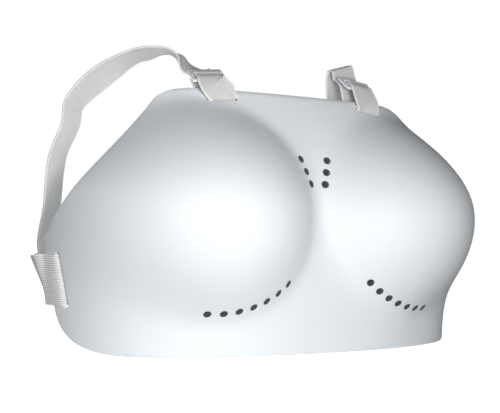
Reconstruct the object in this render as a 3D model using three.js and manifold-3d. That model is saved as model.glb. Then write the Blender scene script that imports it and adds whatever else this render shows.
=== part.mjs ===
// Hard-shell chest protector for fencing, with elastic shoulder straps and a back band.
// Millimetres. The wearer stands behind the shell: -Y is the front, +Z is up and X = 0 is the
// plane of symmetry. The origin is in the middle of the lower rim's wall, at the front.
import * as THREE from 'three';
import { mergeVertices } from 'three/addons/utils/BufferGeometryUtils.js';
import Module from 'manifold-3d';

const wasm = await Module();
wasm.setup();

const DEG = Math.PI / 180;

// ---------------------------------------------------------------- driving dimensions

// Shell: one moulded plate, a torso curve with two cups.
const SHELL_HEIGHT = 210;
const WALL = 3;
const TORSO_HALF_WIDTH = 199;      // half width of the torso curve at the lower rim
const TOP_NARROWING = 3.5;         // how much less that is at the top rim
const TORSO_DEPTH = 129;           // depth of the torso curve at the lower rim
const TOP_SHALLOWING = 6.4;
const SQUARENESS = 2.26;           // 2 is an ellipse, more is squarer
const LEAN = 29;                   // how far the top rim leans back
const SHOULDER_LEAN = 15.6;        // further lean of the upper half

// Cups: two domes that blend softly outwards and crisply at the breast bone.
const CUP_RISE = 58.4;
const CUP_X = 100;
const CUP_Z = 116;
const CUP_HALF_WIDTH = 92.3;
const CUP_UPPER_HEIGHT = 84;       // from the cup's middle up to its fold
const CUP_LOWER_HEIGHT = 90;
const CUP_FULLNESS = 1.97;         // exponent of the dome, 2 is a paraboloid
const FOLD_INNER = 10;             // softness of the fold between the cups
const FOLD_OUTER = 41;             // softness of the fold at the sides
const FOLD_UPPER = 9;              // softness of the fold under the top rim

// Outline of the plate, as angles round the torso curve.
const SIDE_ANGLE = 74 * DEG;       // where the side edges stand
const LOWER_CORNER_HEIGHT = 44.5;
const LOWER_CORNER_SWEEP = 31 * DEG;
const LOWER_CORNER_POWER = 2.9;
const ARMHOLE_FOOT_Z = 88;
const ARMHOLE_TOP_ANGLE = 35.4 * DEG;
const UPPER_CORNER_HEIGHT = 11;
const UPPER_CORNER_SWEEP = 7 * DEG;

// Vent holes: an arc under each cup and a V over the breast bone.
const HOLE_DIAMETER = 5;
const ARC_HOLES = 7;
const ARC_X = 102.3;
const ARC_Z = 126.6;
const ARC_RADIUS = 93.6;
const ARC_START = -92.8 * DEG;
const ARC_END = -49.2 * DEG;
const V_HOLES = 3;
const V_TOP_X = 13.4;
const V_TOP_Z = 155.8;
const V_STEP_X = -3.1;
const V_STEP_Z = -10;

// Elastic webbing.
const STRAP_WIDTH = 25;
const STRAP_THICKNESS = 1.4;
const BAND_WIDTH = 40;
const BAND_THICKNESS = 1.5;
const GAP = 0.4;                   // space between pieces that touch
const BAND_GAP = 1.5;              // space between the band and the curved shell
const WING_GAP = 1.4;              // space between a shoulder strap's end and the band under it
const SLOT_END_GAP = 1.6;          // a slot is this much longer than its webbing at each end
const SLOT_SIDE_GAP = 1.1;         // and this much wider than its webbing on each side

// Slots.
const TOP_SLOT_X = 75;             // middle of a shoulder slot
const TOP_SLOT_DROP = 7.6;         // its depth under the top rim
const TOP_SLOT_SLOPE = 2.5;        // its outer end is this much lower
const SIDE_SLOT_ANGLE = 69 * DEG;
const SIDE_SLOT_Z = 57;

// Strap adjusters: flat frames with three bars.
const BAR = 3;
const BAR_THICKNESS = 2.4;
const BAR_PITCH = 6.4;
const SLIDER_SIDE = 2.6;           // width of the frame's side rails
const SLIDER_TILT = 38.7 * DEG;    // slope of the frame at rest
const SLIDER_BACK = 5.4;           // middle bar, behind the loop's pivot
const LEFT_RISE = 16;              // the left middle bar, over the loop's pivot
const RIGHT_RISE = 18.8;           // the right loop is drawn out a little longer
const LEFT_LEAN = 8.2;             // the left loop leans outwards by this much
const RIGHT_LEAN = -7.3;           // the right loop leans inwards
const LOOP_SLACK = 2.8;            // space between the loop's turn and the shell's bridge
const STRAP_BEHIND = 8.4;          // where a shoulder strap starts, behind the middle bar
const STRAP_OVER = 1.4;            // and over it

// Back band, from wing to wing across the wearer's back.
const BAND_SAG = 30;               // its middle lies this much further back than its ends
const BAND_LIFT = 6;               // and this much higher
const SPAN_GAP = 1.2;              // from a wing's end to the span, which turns beside it

// Sewn seams.
const SEAM_LENGTH = 16;
const SEAM_HEIGHT = 10;
const THREAD = 0.5;

// How far a cutter stands out of the wall on both sides together.
const CUTTER_REACH = 8;

// Grid of the shell solid.
const COLUMNS = 36;
const ROWS_CORNER = 6;
const ROWS_SIDE = 4;
const ROWS_ARMHOLE = 10;
const ROWS_TOP = 3;

// ---------------------------------------------------------------- shell surface

const roundness = 2 / SQUARENESS;

function torso(z) {
  const u = z / SHELL_HEIGHT;
  const upper = Math.max(0, (u - 0.5) / 0.5);
  return {
    halfWidth: TORSO_HALF_WIDTH - TOP_NARROWING * u * u,
    depth: TORSO_DEPTH - TOP_SHALLOWING * u,
    front: LEAN * u + SHOULDER_LEAN * upper * upper,
  };
}

function cupHeight(x, z) {
  const across = (Math.abs(x) - CUP_X) / CUP_HALF_WIDTH;
  const along = (z - CUP_Z) / (z > CUP_Z ? CUP_UPPER_HEIGHT : CUP_LOWER_HEIGHT);
  const dome = CUP_RISE * (1 - Math.pow(Math.max(across * across + along * along, 1e-9), CUP_FULLNESS / 2));
  const lower = FOLD_INNER + (FOLD_OUTER - FOLD_INNER) * THREE.MathUtils.smoothstep(across, 0, 1);
  const fold = THREE.MathUtils.lerp(lower, FOLD_UPPER, THREE.MathUtils.smoothstep(along, 0.1, 0.9));
  return 0.5 * (dome + Math.hypot(dome, fold));
}

// The outer face, by angle round the torso and height.
function shellPoint(angle, z) {
  const { halfWidth, depth, front } = torso(z);
  const s = Math.abs(Math.sin(angle));
  const c = Math.abs(Math.cos(angle));
  const side = Math.sign(angle);
  const x = side * halfWidth * Math.pow(s, roundness);
  const y = front + depth * (1 - Math.pow(c, roundness));
  const out = new THREE.Vector2(
    side * Math.pow(s, 2 - roundness) / halfWidth,
    -Math.pow(c, 2 - roundness) / depth,
  ).normalize();
  const rise = cupHeight(x, z);
  return new THREE.Vector3(x + rise * out.x, y + rise * out.y, z);
}

function shellNormal(angle, z) {
  const step = 0.004;
  const round = shellPoint(angle + step, z).sub(shellPoint(angle - step, z));
  const up = shellPoint(angle, z + 0.5).sub(shellPoint(angle, z - 0.5));
  return round.cross(up).normalize();
}

function angleAt(x, z) {
  const ratio = Math.abs(x) / torso(z).halfWidth;
  return Math.sign(x) * Math.asin(Math.pow(ratio, 1 / roundness));
}

// How far round the plate reaches at a height.
function edgeAngle(z) {
  let angle = SIDE_ANGLE;
  if (z > ARMHOLE_FOOT_Z) {
    const t = (z - ARMHOLE_FOOT_Z) / (SHELL_HEIGHT - ARMHOLE_FOOT_Z);
    angle = SIDE_ANGLE + (ARMHOLE_TOP_ANGLE - SIDE_ANGLE) * t;
  }
  if (z < LOWER_CORNER_HEIGHT) {
    const t = 1 - z / LOWER_CORNER_HEIGHT;
    const arc = Math.pow(1 - Math.pow(t, LOWER_CORNER_POWER), 1 / LOWER_CORNER_POWER);
    angle -= LOWER_CORNER_SWEEP * (1 - arc);
  }
  const t = 1 - (SHELL_HEIGHT - z) / UPPER_CORNER_HEIGHT;
  if (t > 0) {
    angle -= UPPER_CORNER_SWEEP * (1 - Math.sqrt(1 - t * t));
  }
  return angle;
}

// ---------------------------------------------------------------- helpers

function indexed(positions, indices) {
  const geometry = new THREE.BufferGeometry();
  geometry.setAttribute('position', new THREE.Float32BufferAttribute(positions, 3));
  geometry.setIndex(indices);
  return geometry;
}

function signedVolume(positions, indices) {
  const [a, b, c] = [new THREE.Vector3(), new THREE.Vector3(), new THREE.Vector3()];
  let volume = 0;
  for (let i = 0; i < indices.length; i += 3) {
    a.fromArray(positions, 3 * indices[i]);
    b.fromArray(positions, 3 * indices[i + 1]);
    c.fromArray(positions, 3 * indices[i + 2]);
    volume += a.dot(b.cross(c)) / 6;
  }
  return volume;
}

// A closed solid from rings of points, each ring joined to the next, with flat ends.
function loft(rings) {
  const count = rings[0].length;
  const positions = rings.flat().flatMap((p) => p.toArray());
  const indices = [];
  for (let i = 0; i + 1 < rings.length; i += 1) {
    for (let j = 0; j < count; j += 1) {
      const a = i * count + j;
      const b = i * count + (j + 1) % count;
      // Opposite faces of a twisted ribbon are split along matching diagonals.
      if (j < count / 2) {
        indices.push(a, b, b + count, a, b + count, a + count);
      } else {
        indices.push(a, b, a + count, b, b + count, a + count);
      }
    }
  }
  const last = (rings.length - 1) * count;
  for (let j = 1; j + 1 < count; j += 1) {
    indices.push(0, j + 1, j, last, last + j, last + j + 1);
  }
  if (signedVolume(positions, indices) < 0) {
    indices.reverse();
  }
  return indexed(positions, indices);
}

function toManifold(geometry) {
  const bare = geometry.clone();
  bare.deleteAttribute('normal');
  bare.deleteAttribute('uv');
  const merged = mergeVertices(bare, 1e-4);
  return new wasm.Manifold(new wasm.Mesh({
    numProp: 3,
    vertProperties: Float32Array.from(merged.attributes.position.array),
    triVerts: Uint32Array.from(merged.index.array),
  }));
}

function fromManifold(solid) {
  const mesh = solid.getMesh();
  return indexed(Array.from(mesh.vertProperties), Array.from(mesh.triVerts));
}

// A flat ribbon of webbing. Each station is a centre point and the direction of its width.
function ribbon(stations, width, thickness, steps) {
  const centres = new THREE.CatmullRomCurve3(stations.map((s) => s.at), false, 'centripetal');
  const across = new THREE.CatmullRomCurve3(stations.map((s) => s.across), false, 'catmullrom', 0.5);
  const rings = [];
  for (let i = 0; i <= steps; i += 1) {
    const t = i / steps;
    const at = centres.getPoint(t);
    const w = across.getPoint(t).normalize();
    const face = centres.getTangent(t).cross(w).normalize();
    const corner = (side, top) => at.clone()
      .addScaledVector(w, side * width / 2)
      .addScaledVector(face, top * thickness / 2);
    rings.push([corner(-1, -1), corner(1, -1), corner(1, 1), corner(-1, 1)]);
  }
  return loft(rings);
}

const v = (x, y, z) => new THREE.Vector3(x, y, z);

function roundedRectangle(path, width, height, radius) {
  const x = width / 2 - radius;
  const y = height / 2 - radius;
  path.absarc(x, -y, radius, -Math.PI / 2, 0);
  path.absarc(x, y, radius, 0, Math.PI / 2);
  path.absarc(-x, y, radius, Math.PI / 2, Math.PI);
  path.absarc(-x, -y, radius, Math.PI, 1.5 * Math.PI);
  path.closePath();
  return path;
}

function plate(shape, thickness) {
  const geometry = new THREE.ExtrudeGeometry(shape, { depth: thickness, bevelEnabled: false, curveSegments: 4 });
  return geometry.translate(0, 0, -thickness / 2);
}

// Places a flat piece: its X along right, its Y along up, its Z along their cross product.
function place(geometry, at, right, up) {
  const normal = right.clone().cross(up);
  return geometry.applyMatrix4(new THREE.Matrix4().makeBasis(right, up, normal).setPosition(at));
}

const group = new THREE.Group();

const finishes = {
  plastic: { color: 0xeef2f3, roughness: 0.42, metalness: 0 },
  slider: { color: 0xdfe4ec, roughness: 0.3, metalness: 0 },
  strap: { color: 0xcfccc4, roughness: 0.85, metalness: 0 },
  band: { color: 0xcfcdd0, roughness: 0.88, metalness: 0 },
  thread: { color: 0xe6e4dd, roughness: 0.8, metalness: 0 },
};

function add(name, geometry, finish) {
  const mesh = new THREE.Mesh(geometry, new THREE.MeshStandardMaterial(finishes[finish]));
  mesh.name = name;
  group.add(mesh);
}

// ---------------------------------------------------------------- slot frames

// A slot's middle on the outer face, its long direction, its short direction and the way out.
function slotFrame(angleA, zA, angleB, zB) {
  const along = shellPoint(angleB, zB).sub(shellPoint(angleA, zA)).normalize();
  const out = shellNormal((angleA + angleB) / 2, (zA + zB) / 2);
  out.addScaledVector(along, -out.dot(along)).normalize();
  const middle = shellPoint((angleA + angleB) / 2, (zA + zB) / 2);
  return { middle, along, out, cross: out.clone().cross(along) };
}

const topSlotZ = SHELL_HEIGHT - TOP_SLOT_DROP;
const topSlotLength = STRAP_WIDTH + 2 * SLOT_END_GAP;
const topSlotWidth = STRAP_THICKNESS + 2 * SLOT_SIDE_GAP;
const sideSlotLength = BAND_WIDTH + 2 * SLOT_END_GAP;
const sideSlotWidth = BAND_THICKNESS + 2 * SLOT_SIDE_GAP;

// Both shoulder slots run from the viewer's left to right, so that their cross is up.
function topSlotFrame(side) {
  const left = side * TOP_SLOT_X - topSlotLength / 2;
  const right = side * TOP_SLOT_X + topSlotLength / 2;
  const leftZ = topSlotZ + side * TOP_SLOT_SLOPE / 2;
  const rightZ = topSlotZ - side * TOP_SLOT_SLOPE / 2;
  return slotFrame(angleAt(left, leftZ), leftZ, angleAt(right, rightZ), rightZ);
}

// The side slots run upwards, so that their cross points round the torso.
function sideSlotFrame(side) {
  const angle = side * SIDE_SLOT_ANGLE;
  return slotFrame(angle, SIDE_SLOT_Z - sideSlotLength / 2, angle, SIDE_SLOT_Z + sideSlotLength / 2);
}

function slotCutter(frame, length, width) {
  const shape = roundedRectangle(new THREE.Shape(), length, width, width / 2 - 0.01);
  const at = frame.middle.clone().addScaledVector(frame.out, -WALL / 2);
  return place(plate(shape, WALL + CUTTER_REACH), at, frame.along, frame.cross);
}

// ---------------------------------------------------------------- shell

function shellRows() {
  const rows = [];
  const spread = (from, to, count, ease) => {
    for (let i = 0; i < count; i += 1) {
      rows.push(from + (to - from) * ease(i / count));
    }
  };
  spread(0, LOWER_CORNER_HEIGHT, ROWS_CORNER, (t) => 1 - Math.cos(t * Math.PI / 2));
  spread(LOWER_CORNER_HEIGHT, ARMHOLE_FOOT_Z, ROWS_SIDE, (t) => t);
  spread(ARMHOLE_FOOT_Z, SHELL_HEIGHT - UPPER_CORNER_HEIGHT, ROWS_ARMHOLE, (t) => t);
  spread(SHELL_HEIGHT - UPPER_CORNER_HEIGHT, SHELL_HEIGHT, ROWS_TOP, (t) => Math.sin(t * Math.PI / 2));
  rows.push(SHELL_HEIGHT);
  return rows;
}

function shellSolid() {
  const rows = shellRows();
  const stride = COLUMNS + 1;
  const sheet = rows.length * stride;
  const outer = [];
  const inner = [];
  for (const z of rows) {
    for (let j = 0; j <= COLUMNS; j += 1) {
      const angle = edgeAngle(z) * (2 * j / COLUMNS - 1);
      const point = shellPoint(angle, z);
      const normal = shellNormal(angle, z);
      outer.push(...point.toArray());
      // The rims stay level, so that the plate stands flat on its lower rim.
      const level = z === 0 || z === SHELL_HEIGHT;
      const inward = level ? normal.setZ(0).normalize() : normal;
      inner.push(...point.addScaledVector(inward, -WALL).toArray());
    }
  }
  const indices = [];
  const quad = (a, b, c, d) => indices.push(a, b, c, a, c, d);
  for (let i = 0; i + 1 < rows.length; i += 1) {
    for (let j = 0; j < COLUMNS; j += 1) {
      const a = i * stride + j;
      // The two halves are split along mirrored diagonals.
      if (j < COLUMNS / 2) {
        quad(a, a + 1, a + 1 + stride, a + stride);
        quad(sheet + a + 1 + stride, sheet + a + 1, sheet + a, sheet + a + stride);
      } else {
        quad(a + 1, a + 1 + stride, a + stride, a);
        quad(sheet + a + stride, sheet + a + 1 + stride, sheet + a + 1, sheet + a);
      }
    }
    const left = i * stride;
    const right = left + COLUMNS;
    quad(left + stride, sheet + left + stride, sheet + left, left);
    quad(right, sheet + right, sheet + right + stride, right + stride);
  }
  const top = (rows.length - 1) * stride;
  for (let j = 0; j < COLUMNS; j += 1) {
    quad(j + 1, j, sheet + j, sheet + j + 1);
    quad(top + j, top + j + 1, sheet + top + j + 1, sheet + top + j);
  }
  return indexed([...outer, ...inner], indices);
}

function holePlaces() {
  const places = [];
  for (const side of [-1, 1]) {
    for (let i = 0; i < ARC_HOLES; i += 1) {
      const turn = ARC_START + (ARC_END - ARC_START) * i / (ARC_HOLES - 1);
      places.push([side * (ARC_X - ARC_RADIUS * Math.cos(turn)), ARC_Z + ARC_RADIUS * Math.sin(turn)]);
    }
    for (let i = 0; i < V_HOLES; i += 1) {
      places.push([side * (V_TOP_X + V_STEP_X * i), V_TOP_Z + V_STEP_Z * i]);
    }
  }
  return places;
}

let shell = toManifold(shellSolid());
for (const [x, z] of holePlaces()) {
  const angle = angleAt(x, z);
  const out = shellNormal(angle, z);
  const drill = new THREE.CylinderGeometry(HOLE_DIAMETER / 2, HOLE_DIAMETER / 2, WALL + CUTTER_REACH, 8);
  drill.applyQuaternion(new THREE.Quaternion().setFromUnitVectors(v(0, 1, 0), out));
  const at = shellPoint(angle, z).addScaledVector(out, -WALL / 2);
  shell = shell.subtract(toManifold(drill.translate(at.x, at.y, at.z)));
}
for (const side of [-1, 1]) {
  shell = shell.subtract(toManifold(slotCutter(topSlotFrame(side), topSlotLength, topSlotWidth)));
  shell = shell.subtract(toManifold(slotCutter(sideSlotFrame(side), sideSlotLength, sideSlotWidth)));
}
add('shell', fromManifold(shell), 'plastic');

// ---------------------------------------------------------------- shoulder straps

// The loop turns about the bridge of shell over the slot. Its pivot stands in the middle of
// the wall, one loop radius over the slot.
const LOOP_RADIUS = WALL / 2 + STRAP_THICKNESS / 2 + LOOP_SLACK;

function shoulderFrame(side, lean, rise) {
  const slot = topSlotFrame(side);
  const back = slot.out.clone().setZ(0).normalize().negate();
  const along = slot.along;
  const up = along.clone().cross(back).normalize();
  const pivot = slot.middle.clone()
    .addScaledVector(slot.out, -WALL / 2)
    .addScaledVector(slot.cross, LOOP_RADIUS);
  const wallSlope = Math.atan2(slot.cross.dot(back), slot.cross.dot(up));
  // A point of the loop's plane: so far behind the pivot and so high over it. The legs lean
  // sideways up to the adjuster.
  const sway = (high) => THREE.MathUtils.clamp(high / (rise - BAR_PITCH), 0, 1);
  const at = (behind, high) => pivot.clone()
    .addScaledVector(back, behind)
    .addScaledVector(up, high)
    .addScaledVector(along, side * lean * sway(high));
  const tiltUp = back.clone().multiplyScalar(Math.cos(SLIDER_TILT)).addScaledVector(up, Math.sin(SLIDER_TILT));
  // A point of the adjuster: so far up its frame from the middle bar, so far out of its face.
  const slider = (upFrame, out) => at(
    SLIDER_BACK + upFrame * Math.cos(SLIDER_TILT) - out * Math.sin(SLIDER_TILT),
    rise + upFrame * Math.sin(SLIDER_TILT) + out * Math.cos(SLIDER_TILT),
  );
  const strapStart = (behind = 0, high = 0) => at(SLIDER_BACK + STRAP_BEHIND + behind, rise + STRAP_OVER + high);
  return { at, slider, strapStart, along, back, tiltUp, wallSlope };
}

const overBar = BAR_THICKNESS / 2 + GAP + STRAP_THICKNESS / 2;
const pastBar = BAR / 2 + GAP + STRAP_THICKNESS / 2;

function loopRibbon(frame, route, steps) {
  return ribbon(route.map((at) => ({ at, across: frame.along })), STRAP_WIDTH, STRAP_THICKNESS, steps);
}

function strapLoop(frame) {
  const low = frame.wallSlope;
  const leg = (length) => frame.at(
    LOOP_RADIUS * Math.cos(low) + length * Math.sin(low),
    -LOOP_RADIUS * Math.sin(low) + length * Math.cos(low),
  );
  const route = [
    frame.strapStart(-0.5, -0.9),
    frame.slider(2.6, -overBar - STRAP_THICKNESS - 2.2),
    leg(10),
    leg(5),
  ];
  const arcSteps = 6;
  for (let i = 0; i <= arcSteps; i += 1) {
    const turn = low + (Math.PI - low) * i / arcSteps;
    route.push(frame.at(LOOP_RADIUS * Math.cos(turn), -LOOP_RADIUS * Math.sin(turn)));
  }
  route.push(
    frame.at(-LOOP_RADIUS, 4),
    frame.at(-LOOP_RADIUS + 0.8, 9.5),
    frame.slider(-BAR_PITCH - 0.2, overBar + 0.7),
    frame.slider(-2.4, overBar),
  );
  return loopRibbon(frame, route, 46);
}

function strapWrap(frame) {
  const shoulder = pastBar - 0.15;
  const route = [
    frame.slider(-1.4, overBar),
    frame.slider(0.6, overBar),
    frame.slider(shoulder, overBar - 0.6),
    frame.slider(pastBar, 0),
    frame.slider(shoulder, -overBar + 0.6),
    frame.slider(0.6, -overBar),
    frame.slider(-1.4, -overBar),
  ];
  return loopRibbon(frame, route, 16);
}

function slider(frame) {
  const width = STRAP_WIDTH + 2 * GAP + 2 * SLIDER_SIDE;
  const height = 2 * BAR_PITCH + BAR;
  const shape = roundedRectangle(new THREE.Shape(), width, height, BAR / 2);
  for (const side of [-1, 1]) {
    const window = roundedRectangle(new THREE.Path(), width - 2 * SLIDER_SIDE, BAR_PITCH - BAR, 0.4);
    const points = window.getPoints(2).map((p) => p.add(new THREE.Vector2(0, side * BAR_PITCH / 2)));
    shape.holes.push(new THREE.Path(points));
  }
  return place(plate(shape, BAR_THICKNESS), frame.slider(0, 0), frame.along, frame.tiltUp);
}

// The side wing of the back band, beside the shell's edge. Its upper edge flares outwards.
const WING_START = [-5.3, 18.8, 0]; // from the shell's side edge
const WING_RUN = [-22, 13.8, 9];   // the way it goes
const WING_MARGIN = 4;             // from its start to the sewn strap
const WING_REACH = 4;              // from the sewn strap to its end
const WING_FLARE = 0.36;
const wingLength = WING_MARGIN + STRAP_WIDTH + WING_REACH;
const wingLow = v(...WING_START).add(shellPoint(SIDE_ANGLE, SIDE_SLOT_Z));
const wingRun = v(...WING_RUN).normalize();
const wingHigh = wingLow.clone().addScaledVector(wingRun, wingLength);
const wingRise = v(WING_FLARE * 0.54, WING_FLARE * 0.84, 1);
wingRise.addScaledVector(wingRun, -wingRise.dot(wingRun)).normalize();
const wingOut = wingRise.clone().cross(wingRun).normalize();

// A point beside the wing: so far along it, so far out of its face and so far up its face.
function wingPoint(side, along, out, up) {
  const p = wingLow.clone()
    .addScaledVector(wingRun, along)
    .addScaledVector(wingOut, out)
    .addScaledVector(wingRise, up);
  return v(side * p.x, p.y, p.z);
}

const seamAlong = WING_MARGIN + STRAP_WIDTH / 2;
const strapOut = (BAND_THICKNESS + STRAP_THICKNESS) / 2 + WING_GAP;

const mirrored = (p, side) => v(side * p.x, p.y, p.z);

// The end of a shoulder strap lies on the outer face of the wing.
function strapEndStations(side) {
  const across = mirrored(wingRun, side);
  return [22, 8, -8].map((up) => ({ at: wingPoint(side, seamAlong, strapOut, up), across }));
}

// A strap's course is set out from the line between its two ends: a share of the way along it,
// then so far outwards, backwards and upwards.
function strapCourse(side, start, end, course) {
  return course.map(([share, out, back, up, across]) => ({
    at: start.clone().lerp(end, share).add(v(side * out, back, up)),
    across: v(...across),
  }));
}

// Left strap: it leaves the adjuster outwards with half a twist, arches and drops to the band.
function leftStrapStations(frame) {
  const ends = strapEndStations(-1);
  return [
    { at: frame.strapStart(), across: frame.along },
    { at: frame.strapStart(4.2, 3.2), across: v(0.98, 0.05, 0.1) },
    ...strapCourse(-1, frame.strapStart(), ends[0].at, [
      [0, 13, 5.4, 8.3, [0.7, 0.42, 0.57]],
      [0, 27, 4.6, 14, [0.55, 0.83, 0.05]],
      [0, 44, 5.6, 14, [0.56, 0.78, -0.26]],
      [0.1, 46, 5.5, 24.5, [0.62, 0.72, -0.33]],
      [0.3, 47, 8, 35, [0.75, 0.36, -0.5]],
      [0.5, 42, 7.5, 42, [0.86, 0.42, -0.2]],
      [0.55, 38.5, 7, 33, [0.88, 0.46, 0]],
      [0.7, 30, 5, 28, [0.86, 0.5, 0]],
      [1, -2.2, -4.9, 33, [0.85, 0.53, 0]],
    ]),
    ...ends,
  ];
}

// Right strap: it stands up behind the adjuster, folds over and hangs down inside the shell.
function rightStrapStations(frame) {
  const ends = strapEndStations(1);
  return [
    { at: frame.strapStart(), across: frame.along },
    { at: frame.strapStart(4.6, 6.5), across: v(0.97, -0.05, 0.15) },
    ...strapCourse(1, frame.strapStart(), ends[0].at, [
      [0, -7.7, 5, 15.8, [0.94, 0, 0.31]],
      [0, -8.7, 12, 15, [0.92, 0.2, 0.3]],
      [0, -7.2, 16.4, 4.5, [0.86, 0.48, 0.15]],
      [0, -2.2, 18, -12.5, [0.84, 0.54, 0.05]],
      [0.25, -16, 15.5, -12.5, [0.82, 0.5, 0.25]],
      [0.55, -20, 25, -5, [0.7, 0.3, 0.65]],
      [1, -39.7, 16, 40, [0.45, -0.5, 0.73]],
      [1, -12.6, 14.6, 23.5, [0.75, -0.6, 0.3]],
    ]),
    ...ends.map((station) => ({ at: station.at, across: station.across.multiplyScalar(-1) })),
  ];
}

function seamPatch(side, out) {
  const shape = roundedRectangle(new THREE.Shape(), SEAM_LENGTH, SEAM_HEIGHT, 1);
  const right = mirrored(wingRun, side).multiplyScalar(-side);
  return place(plate(shape, THREAD), wingPoint(side, seamAlong, out, 0), right, mirrored(wingRise, side));
}

for (const [name, side, lean, rise, stations] of [
  ['left', -1, LEFT_LEAN, LEFT_RISE, leftStrapStations],
  ['right', 1, RIGHT_LEAN, RIGHT_RISE, rightStrapStations],
]) {
  const frame = shoulderFrame(side, lean, rise);
  add(`${name}_strap_loop`, strapLoop(frame), 'strap');
  add(`${name}_strap_wrap`, strapWrap(frame), 'strap');
  add(`${name}_slider`, slider(frame), 'slider');
  add(`${name}_shoulder_strap`, ribbon(stations(frame), STRAP_WIDTH, STRAP_THICKNESS, 60), 'strap');
  add(`${name}_strap_seam`, seamPatch(side, strapOut + STRAP_THICKNESS / 2 + THREAD / 2 + GAP), 'thread');
}

// ---------------------------------------------------------------- back band

// The band's end goes out through the side slot, round the shell's edge and back to itself.
function bandEndStations(side) {
  const slot = sideSlotFrame(side);
  const edge = shellPoint(side * SIDE_ANGLE, SIDE_SLOT_Z);
  const edgeOut = shellNormal(side * SIDE_ANGLE, SIDE_SLOT_Z).setZ(0).normalize();
  const round = edge.clone().sub(slot.middle).setZ(0).normalize();
  const clear = BAND_THICKNESS / 2 + BAND_GAP;
  const turn = WALL / 2 + clear;
  const centre = slot.middle.clone().addScaledVector(slot.out, -WALL / 2).addScaledVector(round, turn);
  const tailOut = -BAND_THICKNESS - GAP;
  const rise = mirrored(wingRise, side);
  const half = slot.along.clone().lerp(rise, 0.6);
  const besideEdge = (out, along, across) => ({
    at: edge.clone().addScaledVector(edgeOut, out).addScaledVector(round, along),
    across,
  });
  const turnStations = [90, 45, 0, -45, -90].map((degrees) => ({
    at: centre.clone()
      .addScaledVector(slot.out, -turn * Math.sin(degrees * DEG))
      .addScaledVector(round, -turn * Math.cos(degrees * DEG)),
    across: slot.along,
  }));
  return [
    { at: wingPoint(side, seamAlong + SEAM_LENGTH / 2, tailOut, 0), across: rise },
    { at: wingPoint(side, 11, tailOut, 0), across: rise },
    { at: wingPoint(side, 2, tailOut, 0), across: rise },
    besideEdge(-WALL - clear - 1.2, -1, slot.along),
    ...turnStations,
    besideEdge(clear + 0.2, 0, slot.along),
    besideEdge(clear + 1.5, 6, half),
    { at: wingPoint(side, 0, 0, 0), across: rise },
    { at: wingPoint(side, 12, 0, 0), across: rise },
    { at: wingPoint(side, wingLength, 0, 0), across: rise },
  ];
}

for (const [name, side] of [['left', -1], ['right', 1]]) {
  add(`${name}_band_end`, ribbon(bandEndStations(side), BAND_WIDTH, BAND_THICKNESS, 44), 'band');
  add(`${name}_band_seam`, seamPatch(side, -1.5 * BAND_THICKNESS - 4 * GAP - THREAD / 2), 'thread');
}

// The span across the wearer's back, from wing to wing.
const spanStart = wingHigh.clone().addScaledVector(wingRun, SPAN_GAP);
const span = [-1, -0.92, -0.7, -0.35, 0, 0.35, 0.7, 0.92, 1].map((t) => ({
  at: v(spanStart.x * t, spanStart.y + BAND_SAG * (1 - t * t), spanStart.z + BAND_LIFT * (1 - t * t)),
  across: v(wingRise.x / wingRise.z * t ** 5, wingRise.y / wingRise.z * t ** 4, 1),
}));
add('back_band', ribbon(span, BAND_WIDTH, BAND_THICKNESS, 40), 'band');

group.position.y = -(shellPoint(0, 0).y + WALL / 2);

export default group;
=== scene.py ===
import math

import bmesh
import bpy
import numpy as np
from mathutils import Matrix, Vector
from mathutils.geometry import delaunay_2d_cdt


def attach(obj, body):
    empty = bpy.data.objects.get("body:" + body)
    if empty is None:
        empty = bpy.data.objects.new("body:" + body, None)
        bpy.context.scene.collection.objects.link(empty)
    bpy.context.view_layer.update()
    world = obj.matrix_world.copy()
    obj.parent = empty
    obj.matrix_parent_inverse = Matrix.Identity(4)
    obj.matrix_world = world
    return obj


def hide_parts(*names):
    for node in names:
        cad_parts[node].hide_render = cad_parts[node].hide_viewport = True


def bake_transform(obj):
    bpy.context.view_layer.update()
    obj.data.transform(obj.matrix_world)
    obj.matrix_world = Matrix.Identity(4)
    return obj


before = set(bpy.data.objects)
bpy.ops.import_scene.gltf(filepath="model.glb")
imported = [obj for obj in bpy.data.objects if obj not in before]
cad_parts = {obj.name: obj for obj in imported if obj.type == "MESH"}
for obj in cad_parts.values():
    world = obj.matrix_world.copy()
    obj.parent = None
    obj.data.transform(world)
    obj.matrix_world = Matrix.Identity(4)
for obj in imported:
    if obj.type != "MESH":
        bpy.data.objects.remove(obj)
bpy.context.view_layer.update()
MM = 0.001

# ------------------------------------------------------------------ camera
# A short telephoto view from the front left, level with the middle of the shell and close
# enough for its curves to swell towards the lens.

camera_data = bpy.data.cameras.new("camera")
camera_data.lens = 86.9
camera_data.sensor_width = 36.0
camera_data.clip_end = 20.0
camera = bpy.data.objects.new("camera", camera_data)
bpy.context.scene.collection.objects.link(camera)
camera.location = (-0.6083, -0.7595, 0.0976)
camera_pan, camera_tilt, camera_roll = math.radians(-34.91), math.radians(1.11), math.radians(0.97)
ahead = Vector((-math.sin(camera_pan) * math.cos(camera_tilt),
                math.cos(camera_pan) * math.cos(camera_tilt), math.sin(camera_tilt)))
level = Vector((math.cos(camera_pan), math.sin(camera_pan), 0.0))
upright = level.cross(ahead)
turned = level * math.cos(camera_roll) + upright * math.sin(camera_roll)
raised = upright * math.cos(camera_roll) - level * math.sin(camera_roll)
camera.rotation_mode = "QUATERNION"
camera.rotation_quaternion = Matrix((turned, raised, -ahead)).transposed().to_quaternion()
bpy.context.scene.camera = camera

# ------------------------------------------------------------------ shell
# The protector itself: one plate of white plastic, moulded over a torso form with two cups,
# then trimmed. Its rims are rounded over, and the vent holes and strap slots are cut through.
# Sizes are in millimetres. Angles run round the torso from the breast bone.

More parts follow.
